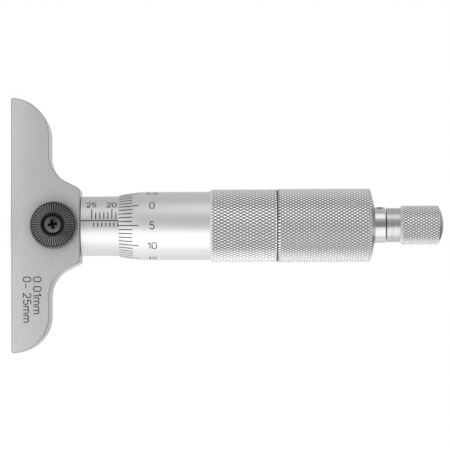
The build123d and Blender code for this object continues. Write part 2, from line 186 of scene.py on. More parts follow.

# Finishes: cells a metre of each noise, how far each one moves the roughness, how much the
# painted shade in the knurls' valleys shines, how much rougher it and the painted shade in the
# hollows are, the tone of the grind and of the painted shade on the base's break against their
# metal, and depths in millimetres. The painted shades of the screw's cross and of the spanner
# hole start at the last two.
cloud_cells = 90.0
grind_cells = 3300.0
grind_stretch = (0.25, 1, 1)
base_grain_cells = 10000.0
knurl_grain_cells = 9000.0
screw_grain_cells = 7000.0
peel_cells = 2500.0
paint_patch_cells = 1500.0
sheen_swing = 0.10
ring_swing = 0.16
knurl_swing = 0.10
screw_swing = 0.12
paint_swing = 0.3
peel_swing = 0.2
valley_shade_specular = 0.1
valley_shade_dulling = 0.30
hollow_dulling = 0.3
grind_tone = 0.84
break_shade_tone = 0.45
base_grain_depth = 0.002
peel_depth = 0.01
break_edge = (0.01, 0.04)
hollow_edge = 0.05
cross_edge = 0.06
cross_shade_depth = 0.12
hole_shade_depth = 0.06


class Wire:
    """An output socket with arithmetic on it, each operation adding a Math node."""

    def __init__(self, finish, socket):
        self.finish = finish
        self.socket = socket

    def maths(self, operation, first, second):
        return self.finish.node("ShaderNodeMath", {"operation": operation}, {0: first, 1: second})

    def __add__(self, other):
        return self.maths("ADD", self, other)

    def __radd__(self, other):
        return self.maths("ADD", other, self)

    def __sub__(self, other):
        return self.maths("SUBTRACT", self, other)

    def __rsub__(self, other):
        return self.maths("SUBTRACT", other, self)

    def __mul__(self, other):
        return self.maths("MULTIPLY", self, other)

    def __rmul__(self, other):
        return self.maths("MULTIPLY", other, self)

    def __truediv__(self, other):
        return self.maths("DIVIDE", self, other)

    def __lt__(self, other):
        return self.maths("LESS_THAN", self, other)

    def __gt__(self, other):
        return self.maths("GREATER_THAN", self, other)


class Finish:
    """Adds the nodes of one material or of the world."""

    def __init__(self, tree):
        self.tree = tree

    def node(self, kind, settings, inputs, output=0):
        made = self.tree.nodes.new(kind)
        for name, value in settings.items():
            if name == "stops":
                self.set_stops(made.color_ramp, value)
            else:
                setattr(made, name, value)
        for name, value in inputs.items():
            if isinstance(value, Wire):
                self.tree.links.new(value.socket, made.inputs[name])
            else:
                made.inputs[name].default_value = value
        return Wire(self, made.outputs[output])

    def set_stops(self, ramp, stops):
        """Grey stops of a ramp, each an angle in degrees and a brightness."""
        while len(ramp.elements) < len(stops):
            ramp.elements.new(0.5)
        for element, (angle, grey) in zip(ramp.elements, stops):
            element.position = angle / 360 + 0.5
            element.color = (grey, grey, grey, 1)

    def feed(self, shader, name, wire):
        self.tree.links.new(wire.socket, shader.inputs[name])


def new_material(name, color, metallic, roughness):
    """A material with its constant values on the shader, and the object's coordinates."""
    material = bpy.data.materials.new(name)
    material.use_nodes = True
    shader = material.node_tree.nodes["Principled BSDF"]
    shader.inputs["Base Color"].default_value = (*color, 1)
    shader.inputs["Metallic"].default_value = metallic
    shader.inputs["Roughness"].default_value = roughness
    finish = Finish(material.node_tree)
    place = finish.node("ShaderNodeTexCoord", {}, {}, "Object")
    return material, shader, finish, place


def noise(finish, place, cells, detail=2.0):
    return finish.node(
        "ShaderNodeTexNoise", {}, {"Vector": place, "Scale": cells, "Detail": detail}
    )


def part_along(finish, place, axis):
    """One coordinate of a point or a direction."""
    return finish.node("ShaderNodeSeparateXYZ", {}, {0: place}, axis)


def stretched(finish, place, factors):
    """Coordinates multiplied along each axis."""
    return finish.node("ShaderNodeVectorMath", {"operation": "MULTIPLY"}, {0: place, 1: factors})


def reach_from_axis(finish, place, across=(1, 1, 0)):
    """Distance of a point from an axis, in metres, measured along the two axes across it."""
    flat = stretched(finish, place, across)
    return finish.node("ShaderNodeVectorMath", {"operation": "LENGTH"}, {0: flat}, "Value")


def smooth_step(finish, value, low, high):
    """Nought below the first value and one above the second, rising smoothly between them."""
    return finish.node(
        "ShaderNodeMapRange", {"interpolation_type": "SMOOTHSTEP"},
        {"Value": value, "From Min": low, "From Max": high, "To Min": 0.0, "To Max": 1.0},
    )


def rising(finish, value, low, high):
    """A smooth step of a length between two values in millimetres."""
    return smooth_step(finish, value, low * MM, high * MM)


def clouded(finish, place, grain, roughness):
    """A roughness that changes with the grain and in slow clouds."""
    cloud = noise(finish, place, cloud_cells, 3.0)
    return grain * sheen_swing + cloud * sheen_swing + (roughness - sheen_swing)


def grained(grain, swing, roughness):
    """A roughness that changes with the grain."""
    return grain * swing + (roughness - swing / 2)


def bumped(finish, shader, height):
    """Feed a height in metres to the shader as a bump."""
    bump = finish.node("ShaderNodeBump", {}, {"Height": height, "Strength": 1.0, "Distance": 1.0})
    finish.feed(shader, "Normal", bump)


def blend(finish, share, first, second):
    """A color between two others, of which the first may come from a node."""
    start = first if isinstance(first, Wire) else (*first, 1)
    return finish.node(
        "ShaderNodeMix", {"data_type": "RGBA"}, {"Factor": share, 6: start, 7: (*second, 1)}, 2
    )


def darker(color, share):
    return tuple(value * share for value in color)


def satin_metal(
    name, color, roughness, grain_size, grain_depth, ring_size=0, ring_depth=0, ring_tone=1,
    hollow_radius=0,
):
    """Metal with a fine blasted grain and slow changes in its sheen. It has turned rings, or
    painted shade in a hollow inside a radius, if asked."""
    material, shader, finish, place = new_material(name, color, 1, roughness)
    grain = noise(finish, place, 1 / (grain_size * MM))
    sheen = clouded(finish, place, grain, roughness)
    height = grain * (grain_depth * MM)
    if ring_size:
        ring = finish.node(
            "ShaderNodeTexNoise",
            {"noise_dimensions": "1D"},
            {"W": part_along(finish, place, "Z") / (ring_size * MM), "Scale": 1.0, "Detail": 3.0},
        )
        sheen = sheen + grained(ring, ring_swing, 0)
        height = height + ring * (ring_depth * MM)
        finish.feed(shader, "Base Color", blend(finish, ring, darker(color, ring_tone), color))
    if hollow_radius:
        reach = reach_from_axis(finish, place)
        unshaded = rising(finish, reach, hollow_radius - hollow_edge, hollow_radius)
        finish.feed(shader, "Base Color", blend(finish, unshaded, hollow_painted_shade, color))
        finish.feed(shader, "Metallic", unshaded)
    finish.feed(shader, "Roughness", sheen)
    bumped(finish, shader, height)
    return material


def base_metal(name, color, roughness, front, edge_break):
    """Metal ground along X, with painted shade on the narrow break round the edge of its front
    face.
    """
    material, shader, finish, place = new_material(name, color, 1, roughness)
    grind = noise(finish, stretched(finish, place, grind_stretch), grind_cells)
    grain = noise(finish, place, base_grain_cells)
    depth = part_along(finish, place, "Y")
    behind_face = rising(finish, depth, *(front + edge for edge in break_edge))
    on_break = behind_face * (depth < (front + edge_break) * MM)
    tone = blend(finish, grind, darker(color, grind_tone), color)
    # Painted shade on the break round the front face.
    finish.feed(shader, "Base Color", blend(finish, on_break, tone, darker(color, break_shade_tone)))
    finish.feed(shader, "Roughness", clouded(finish, place, grain, roughness))
    bumped(finish, shader, grain * (base_grain_depth * MM))
    return material


def knurled_metal(name, color, roughness, crest, depth):
    """Metal of a knurled band whose valleys, nearer the spindle axis, are darkened with painted
    shade.
    """
    material, shader, finish, place = new_material(name, color, 1, roughness)
    shader.inputs["Specular IOR Level"].default_value = valley_shade_specular
    reach = reach_from_axis(finish, place)
    unshaded = rising(finish, reach, crest - valley_shade_full * depth, crest - valley_shade_starts * depth)
    grain = noise(finish, place, knurl_grain_cells)
    # Painted shade in the valleys: dark, not metallic and rougher.
    finish.feed(shader, "Base Color", blend(finish, unshaded, valley_painted_shade, color))
    finish.feed(shader, "Metallic", unshaded)
    sheen = grained(grain, knurl_swing, roughness) + (1 - unshaded) * valley_shade_dulling
    finish.feed(shader, "Roughness", sheen)
    return material


def shaded_metal(name, color, roughness, centre, radius):
    """Metal with painted shade in a hollow: everything nearer the centre than a radius, in
    millimetres.
    """
    material, shader, finish, place = new_material(name, color, 1, roughness)
    reach = finish.node(
        "ShaderNodeVectorMath", {"operation": "DISTANCE"},
        {0: place, 1: tuple(value * MM for value in centre)}, "Value",
    )
    unshaded = rising(finish, reach, radius - cross_edge, radius)
    grain = noise(finish, place, screw_grain_cells)
    finish.feed(shader, "Base Color", blend(finish, unshaded, hollow_painted_shade, color))
    sheen = grained(grain, screw_swing, roughness) + (1 - unshaded) * hollow_dulling
    finish.feed(shader, "Roughness", sheen)
    return material


def marking_paint():
    """Black oxide in the engraved marks, a little uneven."""
    material, shader, finish, place = new_material(
        "marking_black", marking_black, 1, marking_roughness
    )
    patches = noise(finish, place, paint_patch_cells)
    finish.feed(shader, "Roughness", grained(patches, paint_swing, marking_roughness))
    return material


def black_moulding(height, shoulder_depth, slope):
    """Glossy black moulding with a faint orange peel and a painted highlight on the crests of its
    bevel. The bevel is a cone round the lock's axis, given by its shoulder and its slope."""
    material, shader, finish, place = new_material(
        "black_moulding", moulding_black, 1, moulding_roughness
    )
    peel = noise(finish, place, peel_cells)
    from_axis = finish.node(
        "ShaderNodeVectorMath", {"operation": "SUBTRACT"}, {0: place, 1: (0, 0, height * MM)}
    )
    reach = reach_from_axis(finish, from_axis, (1, 0, 1))
    depth = part_along(finish, place, "Y")
    crest = reach - (depth - shoulder_depth * MM) * slope - lock_shoulder_radius * MM
    past_shoulder = depth < (shoulder_depth - highlight_shoulder_margin) * MM
    on_bevel = past_shoulder * (reach > (lock_ring_radius + highlight_ring_margin) * MM)
    # Painted highlight on the bevel's crests.
    highlighted = rising(finish, crest, *highlight_depths) * on_bevel
    finish.feed(shader, "Base Color", blend(finish, highlighted, moulding_black, crest_painted_highlight))
    finish.feed(shader, "Roughness", grained(peel, peel_swing, moulding_roughness))
    bumped(finish, shader, peel * (peel_depth * MM))
    return material


# The finishes. A satin metal has its color, its roughness, the size and depth of its grain, and
# the size, depth and tone of its turned rings.
# Painted shade for the knurls' valleys.
valley_painted_shade = (0.07, 0.07, 0.07)
moulding_black = (0.040, 0.040, 0.041)
moulding_roughness = 0.3
# A painted highlight for the lock knob's crests.
crest_painted_highlight = (0.26, 0.26, 0.26)
# Painted shade for hollows: the screw's cross and the spanner hole.
hollow_painted_shade = (0.01, 0.01, 0.01)
marking_black = (0.05, 0.05, 0.052)
marking_roughness = 0.5
chrome = (0.84, 0.84, 0.835)
drum_chrome = satin_metal("satin_chrome", (0.77, 0.77, 0.765), 0.42, 0.12, 0.0015)
sleeve_chrome = satin_metal("sleeve_chrome", (0.73, 0.73, 0.725), 0.42, 0.12, 0.0012)
# A dark copy of the chrome, painted shade on the cap's cone and the ratchet knob's dome.
shaded_chrome = satin_metal("cap_cone_shaded_chrome", (0.36, 0.36, 0.36), 0.35, 0.12, 0.0010)
base_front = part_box("base")[0][1] / MM
base_chrome = base_metal("base_chrome", (0.70, 0.70, 0.70), 0.42, base_front, base_break)
grip_chrome = knurled_metal("grip_chrome", chrome, 0.34, span("thimble")[0], knurl_depth)
cap_chrome = knurled_metal("cap_chrome", chrome, 0.34, span("thimble_cap")[0], knurl_depth)
knob_chrome = knurled_metal("knob_chrome", chrome, 0.34, span("ratchet_knob")[0], knob_knurl_depth)
# The neck has painted shade nearer the axis than just under its outside, as in its spanner hole.
neck_chrome = satin_metal(
    "neck_chrome", (0.66, 0.66, 0.655), 0.22, 0.15, 0.0004,
    hollow_radius=span("ratchet_body")[0] - hole_shade_depth,
)
turned_chrome = satin_metal(
    "turned_chrome", (0.70, 0.70, 0.695), 0.28, 0.15, 0.0006, 0.55, 0.0060, 0.58
)
ground_steel = satin_metal("ground_steel", (0.60, 0.60, 0.61), 0.25, 0.10, 0.0008, 0.08, 0.0008)
# Near-black steel: painted shade in the seams where the hidden parts show.
painted_shade_steel = satin_metal("painted_shade_steel", (0.06, 0.06, 0.06), 0.45, 0.10, 0.0008)
brass = satin_metal("brass", (0.78, 0.60, 0.30), 0.32, 0.12, 0.0010)
spring_wire = satin_metal("spring_wire", (0.45, 0.45, 0.47), 0.35, 0.05, 0.0008)
lock_low, lock_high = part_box("lock_knob")
lock_rear_radius, lock_back, lock_front = lock_high[0] / MM, lock_high[1] / MM, lock_low[1] / MM
lock_height = (lock_low[2] + lock_high[2]) / 2 / MM
lock_shoulder_depth = lock_back - lock_side_height
plastic = black_moulding(
    lock_height, lock_shoulder_depth,
    (lock_shoulder_radius - lock_ring_radius) / (lock_shoulder_depth - lock_front),
)
paint = marking_paint()
screw_low, screw_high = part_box("knob_screw")
screw_front = screw_low[1] / MM
screw_axis_height = (screw_low[2] + screw_high[2]) / 2 / MM
# The screw has painted shade in its cross.
screw_steel = shaded_metal(
    "dark_screw", (0.115, 0.115, 0.116), 0.24,
    (0, screw_front + screw_dome_radius, screw_axis_height), screw_dome_radius - cross_shade_depth,
)


def shade(bm):
    """Smooth shading, with every sharp edge kept crisp."""
    for face in bm.faces:
        face.smooth = True
    for edge in bm.edges:
        edge.smooth = edge.calc_face_angle(0) < math.radians(crisp_angle)


def place_piece(name, bm, body, slot, materials, *nodes):
    """Make a piece of a bmesh in metres: it rides on a body and stands for these CAD nodes."""
    mesh = bpy.data.meshes.new(name)
    bm.to_mesh(mesh)
    bm.free()
    for material in materials:
        mesh.materials.append(material)
    piece = bpy.data.objects.new(name, mesh)
    bpy.context.scene.collection.objects.link(piece)
    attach(piece, body)
    if nodes:
        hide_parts(*nodes)
    return piece


def to_metres(bm):
    bmesh.ops.scale(bm, vec=(MM, MM, MM), verts=bm.verts)


def spun(outline, columns):
    """Spin a closed outline of (radius, height) points once round the spindle axis."""
    bm = bmesh.new()
    ring = [bm.verts.new((radius, 0, height)) for radius, height in outline]
    edges = [bm.edges.new(pair) for pair in zip(ring, ring[1:] + ring[:1])]
    bmesh.ops.spin(
        bm, geom=ring + edges, cent=(0, 0, 0), axis=(0, 0, 1), dvec=(0, 0, 0),
        angle=math.tau, steps=columns, use_merge=True,
    )
    bmesh.ops.remove_doubles(bm, verts=bm.verts, dist=weld_gap)
    bmesh.ops.recalc_face_normals(bm, faces=bm.faces)
    return bm


def band(radius, bottom, top, rows):
    """Outline points along a knurled band, one for each row of half diamonds."""
    return [(radius, bottom + (top - bottom) * row / rows) for row in range(rows + 1)]


def knurl(bm, radius, bottom, top, rows, diamonds, depth, below, above):
    """Press a diamond knurl in a band: sink every other vertex, crease the valleys between them
    and leave small flats on the tips. The band, and so much below and above it, get the second
    material."""
    row_height = (top - bottom) / rows
    column_angle = math.pi / diamonds
    slack = row_height / 10
    tips, valleys = [], []
    for vert in bm.verts:
        reach = vert.co.to_2d().length
        if abs(reach - radius) < slack and bottom - slack < vert.co.z < top + slack:
            row = round((vert.co.z - bottom) / row_height)
            column = round(math.atan2(vert.co.y, vert.co.x) / column_angle)
            (tips if (row + column) % 2 else valleys).append(vert)
    for vert in valleys:
        vert.co.xy *= (radius - depth) / radius
    bmesh.ops.connect_verts(bm, verts=valleys)
    bmesh.ops.bevel(
        bm, geom=tips, offset=knurl_tip, offset_type="OFFSET", affect="VERTICES",
        segments=1, profile=0.5, material=-1,
    )
    for face in bm.faces:
        centre = face.calc_center_median()
        if centre.to_2d().length > radius - 2 * depth and bottom - below < centre.z < top + above:
            face.material_index = 1


def make_thimble():
    """Drum with its graduated cone, plain part and knurled grip, and the web on the spindle."""
    grip_radius, edge, end = span("thimble")
    grip_start = edge + drum_length + grip_bevel
    grip_end = end - seam_bevel
    outline = [
        (thimble_bore, edge),
        (lip_radius, edge),
        (lip_bevel_radius, edge + lip_bevel),
        (drum_radius, edge + cone_length),
        (drum_radius, edge + drum_length),
        *band(grip_radius, grip_start, grip_end, grip_rows),
        (seam_radius, end),
        (web_rear_bore, end),
        (web_front_bore, end - web_thickness),
        (thimble_bore, end - web_thickness),
    ]
    bm = spun(outline, 2 * grip_diamonds)
    knurl(
        bm, grip_radius, grip_start, grip_end, grip_rows, grip_diamonds, knurl_depth, 0, seam_bevel
    )
    shade(bm)
    to_metres(bm)
    place_piece(
        "thimble_knurled", bm, "thimble", "satin_chrome", [drum_chrome, grip_chrome], "thimble"
    )


def make_cap():
    """Knurled cap, hollow over the spindle's end, with a cone down to the ratchet's neck."""
    cap_radius, start, face_height = span("thimble_cap")
    grip_start = start + cap_bevel
    rim = face_height - cap_cone_rise
    grip_end = rim - cap_rim_bevel
    outline = [
        (cap_bore, start),
        (seam_radius, start),
        *band(cap_radius, grip_start, grip_end, cap_rows),
        (cap_radius - cap_rim_bevel, rim),
        (cap_face_radius, face_height),
        (stem_bore, face_height),
        (stem_bore, face_height - stem_depth),
        (0, face_height - stem_depth),
        (0, face_height - cap_wall),
        (cap_bore, face_height - cap_wall),
    ]
    bm = spun(outline, 2 * cap_diamonds)
    knurl(bm, cap_radius, grip_start, grip_end, cap_rows, cap_diamonds, knurl_depth, cap_bevel, 0)
    for face in bm.faces:
        if face.calc_center_median().z > rim:
            # The cap's cone gets the dark copy of the chrome: painted shade.
            face.material_index = 2
    shade(bm)
    to_metres(bm)
    place_piece(
        "cap_knurled", bm, "thimble", "satin_chrome", [drum_chrome, cap_chrome, shaded_chrome],
        "thimble_cap",
    )


def make_knob():
    """Ratchet knob: turned neck, knurled grip, domed end and hollow mouth."""
    knob_radius, bottom, top = span("ratchet_knob")
    grip_start = bottom + knob_neck_length + knob_shoulder
    grip_end = grip_start + knob_grip_length
    dome_angle = math.asin(knob_dome_edge / knob_dome_radius)
    dome = []
    for step in range(knob_dome_steps + 1):
        angle = dome_angle * (1 - step / knob_dome_steps)
        drop = knob_dome_radius * (1 - math.cos(angle))
        dome.append((knob_dome_radius * math.sin(angle), top - drop))
    outline = [
        (knob_mouth_radius, bottom),
        (knob_neck_radius, bottom),
        (knob_neck_radius, bottom + knob_neck_length),
        *band(knob_radius, grip_start, grip_end, knob_rows),
        *dome,
        (0, bottom + knob_mouth_depth),
        (knob_mouth_radius, bottom + knob_mouth_depth),
    ]
    bm = spun(outline, 2 * knob_diamonds)
    knurl(bm, knob_radius, grip_start, grip_end, knob_rows, knob_diamonds, knob_knurl_depth, 0, 0)
    for face in bm.faces:
        height = face.calc_center_median().z
        if height < bottom + knob_neck_length:
            face.material_index = 2
        elif height > grip_end + knurl_tip:
            # The dome gets the dark copy of the chrome: painted shade.
            face.material_index = 3
    shade(bm)
    to_metres(bm)
    place_piece(
        "ratchet_knob_knurled", bm, "ratchet", "satin_chrome",
        [drum_chrome, knob_chrome, turned_chrome, shaded_chrome], "ratchet_knob",
    )


def make_lock_knob():
    """Serrated knob on the lock's axis, turned up round Z first and then laid along -Y."""
    back, front = -lock_back, -lock_front
    shoulder = back + lock_side_height
    bevel = [
        (
            lock_shoulder_radius + (lock_ring_radius - lock_shoulder_radius) * step / bevel_bands,
            shoulder + (front - shoulder) * step / bevel_bands,
        )
        for step in range(bevel_bands + 1)
    ]
    outline = [
        (lock_bore, back),
        (lock_rear_radius, back),
        *bevel,
        (lock_recess_radius, front),
        (lock_recess_radius, front - lock_recess_depth),
        (lock_bore, front - lock_recess_depth),
    ]
    columns = len(flute_profile)
    bm = spun(outline, columns * flute_count)
    for vert in bm.verts:
        reach = vert.co.to_2d().length
        if reach > lock_ring_radius + vertex_slack:
            column = round(math.atan2(vert.co.y, vert.co.x) / math.tau * columns * flute_count)
            fade = min(1, (reach - lock_ring_radius) / bevel_flute_fade)
            on_side = reach > lock_shoulder_radius - vertex_slack
            depth = side_flute_depth if on_side else bevel_flute_depth * fade
            vert.co.xy *= (reach - depth * flute_profile[column % columns]) / reach
    laid = Matrix.Rotation(math.pi / 2, 3, "X")
    bmesh.ops.rotate(bm, cent=(0, 0, 0), matrix=laid, verts=bm.verts)
    bmesh.ops.translate(bm, vec=(0, 0, lock_height), verts=bm.verts)
    bmesh.ops.recalc_face_normals(bm, faces=bm.faces)
    shade(bm)
    to_metres(bm)
    place_piece("lock_knob_serrated", bm, "lock", "black_plastic", [plastic], "lock_knob")


def refined(node, body, slot, material, edge_break):
    """Stand a smooth-shaded copy of a CAD node in for it, with its sharp edges just broken."""
    bm = bmesh.new()
    bm.from_mesh(frame["nodes"][node].data)
    bm.transform(frame["nodes"][node].matrix_world)
    bmesh.ops.remove_doubles(bm, verts=bm.verts, dist=cad_weld_gap * MM)
    bmesh.ops.dissolve_limit(
        bm, angle_limit=math.radians(cad_flat_angle), use_dissolve_boundaries=False,
        verts=bm.verts, edges=bm.edges, delimit=set(),
    )
    shade(bm)
    piece = place_piece(node + "_finished", bm, body, slot, [material], node)
    if edge_break:
        bevel = piece.modifiers.new("edge_break", "BEVEL")
        bevel.width = edge_break * MM
        bevel.segments = 2
        bevel.limit_method = "ANGLE"
        bevel.angle_limit = math.radians(crisp_angle)
        bevel.harden_normals = True


def ribbon(bm, outline, start, sweep, steps):
    """A thin mark on a round surface: an outline of (radius, height) points swept round the axis
    from a start angle, measured from -Y towards +X."""
    angle = math.radians(start - 90)
    chain = [
        bm.verts.new((radius * math.cos(angle), radius * math.sin(angle), height))
        for radius, height in outline
    ]
    edges = [bm.edges.new(pair) for pair in zip(chain, chain[1:])]
    bmesh.ops.spin(
        bm, geom=chain + edges, cent=(0, 0, 0), axis=(0, 0, 1), dvec=(0, 0, 0),
        angle=math.radians(sweep), steps=steps, use_merge=False,
    )


def thickened(bm):
    """Give flat marks their thickness, sunk into the surface that carries them."""
    bmesh.ops.recalc_face_normals(bm, faces=bm.faces)
    for face in bm.faces:
        centre = face.calc_center_median()
        if face.normal.dot(Vector((centre.x, centre.y, 0))) < 0:
            face.normal_flip()
    bmesh.ops.solidify(bm, geom=bm.faces, thickness=mark_sunk)
    bmesh.ops.recalc_face_normals(bm, faces=bm.faces)


def arc(centre_x, centre_y, radius, start, end, steps=8):
    """Points along an arc, from one angle to another, in degrees."""
    points = []
    for step in range(steps + 1):
        angle = math.radians(start + (end - start) * step / steps)
        points.append((centre_x + radius * math.cos(angle), centre_y + radius * math.sin(angle)))
    return points


def glyph_strokes():
    """Engraver's characters one unit high: for each its width and its strokes."""
    half = 0.29
    return {
        "0": (0.58, [
            arc(half, 1 - half, half, 0, 180) + arc(half, half, half, 180, 360) + [(0.58, 1 - half)]
        ]),
        "1": (0.32, [[(0, 0.74), (0.30, 1), (0.30, 0)]]),
        "2": (0.58, [arc(half, 1 - half, half, 170, -32) + [(0, 0), (0.58, 0)]]),
        "3": (0.58, [
            arc(half, 0.765, 0.235, 165, -90) + arc(half, 0.265, 0.265, 90, -165)
        ]),
        "4": (0.60, [[(0.30, 1), (0, 0.24), (0.60, 0.24)], [(0.42, 0.50), (0.42, 0)]]),
        "5": (0.58, [[(0.52, 1), (0.10, 1), (0.05, 0.54)] + arc(half, 0.32, 0.30, 130, -150)]),
        ".": (0.10, [[(0.02, 0), (0.08, 0)]]),
        "-": (0.55, [[(0, 0.34), (0.55, 0.34)]]),
        "m": (0.84, [
            [(0, 0.70), (0, 0)],
            arc(0.21, 0.49, 0.21, 180, 0) + [(0.42, 0)],
            arc(0.63, 0.49, 0.21, 180, 0) + [(0.84, 0)],
        ]),
        " ": (0.12, []),
    }


glyphs = glyph_strokes()


def word_width(word):
    return sum(glyphs[letter][0] for letter in word) + letter_gap * (len(word) - 1)


def divided(points):
    """The same stroke with its long runs divided, so that it can follow a round surface."""
    fine = [points[0]]
    for (x0, y0), (x1, y1) in zip(points, points[1:]):
        pieces = math.ceil(math.hypot(x1 - x0, y1 - y0) / longest_run)
        for piece in range(1, pieces + 1):
            share = piece / pieces
            fine.append((x0 + (x1 - x0) * share, y0 + (y1 - y0) * share))
    return fine


def lettering(name, words, stroke, body, slot):
    """Engraved words as one piece. Each word is (text, height, width, place), and place turns
    (along, up, out) in millimetres into a point on the surface."""
    whole = bmesh.new()
    for word, height, width, place in words:
        curve = bpy.data.curves.new(name, "CURVE")
        curve.dimensions = "3D"
        curve.bevel_depth = stroke / 2
        curve.bevel_resolution = 1
        curve.use_fill_caps = True
        stretch = width / word_width(word)
        start = 0
        for letter in word:
            letter_width, strokes = glyphs[letter]
            for stroke_points in strokes:
                points = divided(stroke_points)
                spline = curve.splines.new("POLY")
                spline.points.add(len(points) - 1)
                for point, (across, up) in zip(spline.points, points):
                    rise = up * (height - stroke) + stroke / 2
                    point.co = ((start + across) * stretch, rise, 0, 1)
            start += letter_width + letter_gap
        drawn = bpy.data.objects.new(name, curve)
        mesh = bpy.data.meshes.new_from_object(drawn)
        part = bmesh.new()
        part.from_mesh(mesh)
        for vert in part.verts:
            along, up, out = vert.co
            lift = mark_proud if out > 0 else -mark_sunk
            vert.co = place(along, up, lift * abs(out) / (stroke / 2))
        part.to_mesh(mesh)
        part.free()
        whole.from_mesh(mesh)
        bpy.data.objects.remove(drawn)
        bpy.data.curves.remove(curve)
        bpy.data.meshes.remove(mesh)
    bmesh.ops.recalc_face_normals(whole, faces=whole.faces)
    shade(whole)
    to_metres(whole)
    place_piece(name, whole, body, slot, [paint])


def round_place(radius, middle_angle, bottom_z, height):
    """Place for a word that reads along +Z on a round surface, its middle at an angle from -Y
    towards -X."""
    def place(along, up, out):
        angle = math.radians(-middle_angle - 90) - (up - height / 2) / radius
        reach = radius + out
        return (reach * math.cos(angle), reach * math.sin(angle), bottom_z + along)
    return place


def make_sleeve_scale():
    """Reading line, millimetre and half-millimetre marks and numerals on the sleeve."""
    radius = span("graduated_sleeve")[0] + mark_proud
    sleeve_bottom = span("graduated_sleeve")[1]
    bm = bmesh.new()
    line_sweep = math.degrees(reading_line_width / radius)
    ribbon(
        bm,
        [
            (radius, sleeve_bottom + reading_line_foot),
            (radius, scale_zero + reading_line_past_zero),
        ],
        -reading_angle - line_sweep / 2, line_sweep, reading_line_steps,
    )
    for half_millimetre in range(2 * scale_length + 1):
        height = scale_zero - half_millimetre / 2
        outline = [(radius, height - mark_width / 2), (radius, height + mark_width / 2)]
        if half_millimetre % 2:
            sweep = tick_lower_start - tick_lower_end
            ribbon(bm, outline, -tick_lower_start, sweep, short_tick_steps)
        else:
            end = tick_short_end if half_millimetre % 10 else tick_long_end
            ribbon(bm, outline, -end, end - tick_upper_start, tick_steps)
    thickened(bm)
    to_metres(bm)
    place_piece("sleeve_scale", bm, "base", "black_plastic", [paint])
    words = []
    for millimetre in range(0, scale_length + 1, 5):
        word = str(millimetre)
        width = sleeve_numeral_height * word_width(word) * numeral_stretch
        place = round_place(
            radius - mark_proud, sleeve_numeral_angle,
            scale_zero - millimetre - numeral_setback - width / 2, sleeve_numeral_height,
        )
        words.append((word, sleeve_numeral_height, width, place))
    lettering("sleeve_numerals", words, stroke_width, "base", "black_plastic")


def make_thimble_scale():
    """Marks over the thimble's lip and cone, and the numerals on its drum."""
    edge = span("thimble")[1]
    slope = (drum_radius - lip_bevel_radius) / (cone_length - lip_bevel)
    bm = bmesh.new()
    division = 360 / thimble_divisions
    sweep = math.degrees(mark_width / drum_radius)
    for mark in range(thimble_divisions):
        length = thimble_short_mark if mark % 5 else thimble_long_mark
        angle = thimble_five_angle + (mark - 5) * division
        outline = [
            (lip_radius + mark_proud, edge + thimble_mark_foot),
            (lip_bevel_radius + mark_proud, edge + lip_bevel),
            (lip_bevel_radius + mark_proud + slope * (length - lip_bevel), edge + length),
        ]
        ribbon(bm, outline, angle - sweep / 2, sweep, 1)
    thickened(bm)
    to_metres(bm)
    place_piece("thimble_scale", bm, "thimble", "black_plastic", [paint])
    words = []
    for mark in range(0, thimble_divisions, 5):
        word = str(mark)
        width = thimble_numeral_height * word_width(word) * numeral_stretch
        angle = thimble_five_angle + (mark - 5) * division
        place = round_place(
            drum_radius, -angle, thimble_numeral_z - width / 2, thimble_numeral_height
        )
        words.append((word, thimble_numeral_height, width, place))
    lettering("thimble_numerals", words, stroke_width, "thimble", "black_plastic")


def flat_place(foot):
    """Place for a word that reads along +X on the base's front face."""
    def place(along, up, out):
        return (base_word_start + along, base_front - out, foot + up)
    return place


def make_base_words():
    """Resolution and range on the base's front face."""
    words = [
        (word, base_word_height, length, flat_place(foot))
        for word, length, foot in base_word_lines
    ]
    lettering("base_words", words, base_word_stroke, "base", "black_plastic")


# The pieces, and finishes for the CAD nodes that stay. A refined piece ends with the width of its
# broken edges.
make_thimble()
make_cap()
make_knob()
refined("base", "base", "base_chrome", base_chrome, 0.05)
refined("graduated_sleeve", "base", "satin_chrome", sleeve_chrome, 0.04)
refined("ratchet_body", "thimble", "satin_chrome", neck_chrome, 0.08)
make_lock_knob()
refined("knob_screw", "lock", "dark_screw", screw_steel, 0.05)
refined("measuring_rod", "rod", "ground_steel", ground_steel, 0)
make_sleeve_scale()
make_thimble_scale()
make_base_words()
# The hidden steel parts get near-black steel, painted shade in the seams where they show.
hidden_steel = ("inner_sleeve", "ratchet_collar", "clamp_stud")
finishes = {
    "satin_chrome": drum_chrome,
    "base_chrome": base_chrome,
    "ground_steel": ground_steel,
    "dark_screw": screw_steel,
    "brass": brass,
    "black_plastic": plastic,
    "spring_steel": spring_wire,
}
for part in frame["record"]["subparts"]:
    mesh = frame["nodes"][part["node"]].data
    hidden = part["node"] in hidden_steel
    mesh.materials.clear()
    mesh.materials.append(painted_shade_steel if hidden else finishes[part["material_slot"]])


# Studio: a white floor and background, a softbox near by on the +X side and one further off on
# the -X side. The floor's left, right, front and back edges are in millimetres, and it glows a
# little for the camera and in reflections, more towards its back edge.
floor_edges = (-45, 200, -45, 600)
floor_white = (0.85, 0.85, 0.85)
floor_roughness = 0.8
floor_lift = 0.43
floor_far_lift = 0.10


def seen_directly(finish):
    """One for rays from the camera, a mirror or glass, and nought for the light on the object."""
    camera_ray = finish.node("ShaderNodeLightPath", {}, {}, "Is Camera Ray")
    glossy_ray = finish.node("ShaderNodeLightPath", {}, {}, "Is Glossy Ray")
    glass_ray = finish.node("ShaderNodeLightPath", {}, {}, "Is Transmission Ray")
    any_ray = camera_ray + glossy_ray + glass_ray
    return finish.node("ShaderNodeMath", {"operation": "MINIMUM"}, {0: any_ray, 1: 1.0})


